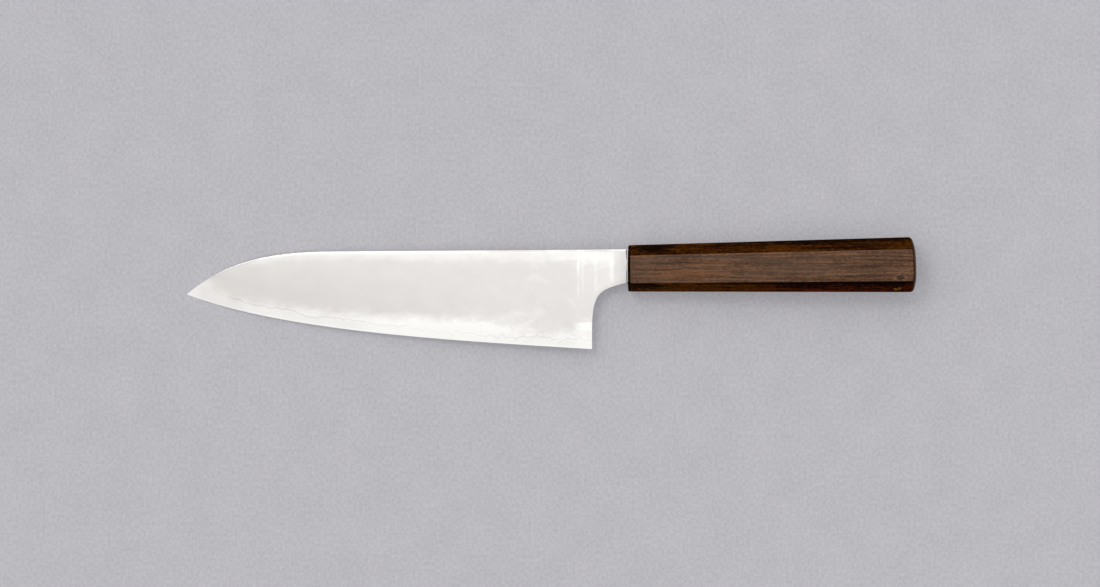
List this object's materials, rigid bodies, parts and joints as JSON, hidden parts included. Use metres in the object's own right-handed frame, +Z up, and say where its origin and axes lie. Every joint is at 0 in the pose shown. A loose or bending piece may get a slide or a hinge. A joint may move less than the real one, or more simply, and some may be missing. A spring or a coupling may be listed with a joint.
{
  "type": "gyuto knife",
  "caption": "Japanese chef's knife with a thin laminated blade, pointed tip and square heel on a hidden tang glued into an octagonal hardwood handle with a gently bowed butt.",
  "frame": {"origin": "on the table, under the centre of the knife's bounding box", "axes": "+X along the knife from tip to butt, +Y from cutting edge to spine, +Z up from the table out of the left face; the knife lies on its right side, on its tip and the front edge of its handle"},
  "size_m": [0.3238, 0.0496, 0.0245],
  "materials": {
    "core_steel": "polished",
    "cladding_steel": "satin",
    "handle_wood": "satin",
    "resin": "gloss",
    "seal": "satin"
  },
  "bodies": {
    "root": {"blade_core": "core_steel", "left_cladding": "cladding_steel", "right_cladding": "cladding_steel", "handle_body": "handle_wood", "tang_resin": "resin", "mouth_seal": "seal"}
  },
  "joints": []
}
